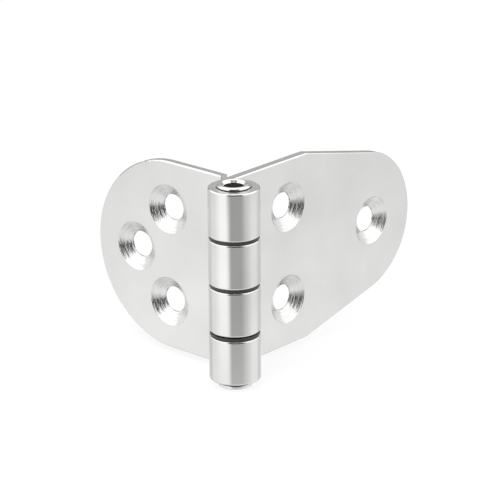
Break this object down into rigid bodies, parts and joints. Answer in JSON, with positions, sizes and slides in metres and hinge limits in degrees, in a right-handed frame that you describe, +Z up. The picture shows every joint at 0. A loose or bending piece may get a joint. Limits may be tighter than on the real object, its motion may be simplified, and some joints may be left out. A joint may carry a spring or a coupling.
{
  "type": "tee hinge",
  "caption": "Surface hinge with one half-round leaf and one longer tapered, round-ended strap leaf, curled knuckles on a tubular pin and countersunk screw holes.",
  "frame": {"origin": "on the pin's axis, at the middle of the barrel's height", "axes": "+Z up along the pin, +X along the strap leaf, +Y along the round leaf at rest; the leaves' plain backs face each other across the corner and their countersunk fronts face out"},
  "size_m": [0.0622, 0.0439, 0.0408],
  "materials": {
    "strap_leaf": "polished stainless steel",
    "round_leaf": "polished stainless steel",
    "hinge_pin": "polished stainless steel",
    "washer": "matte black nylon"
  },
  "bodies": {
    "strap": {"strap_leaf": "strap_leaf", "hinge_pin": "hinge_pin", "washer_upper": "washer", "washer_middle": "washer", "washer_lower": "washer"},
    "round": {"round_leaf": "round_leaf"}
  },
  "joints": [
    {"name": "leaf_hinge", "type": "hinge", "parent": "strap", "child": "round", "pos_m": [0, 0, 0], "axis": [0, 0, 1], "range_deg": [-10, 278]}
  ]
}
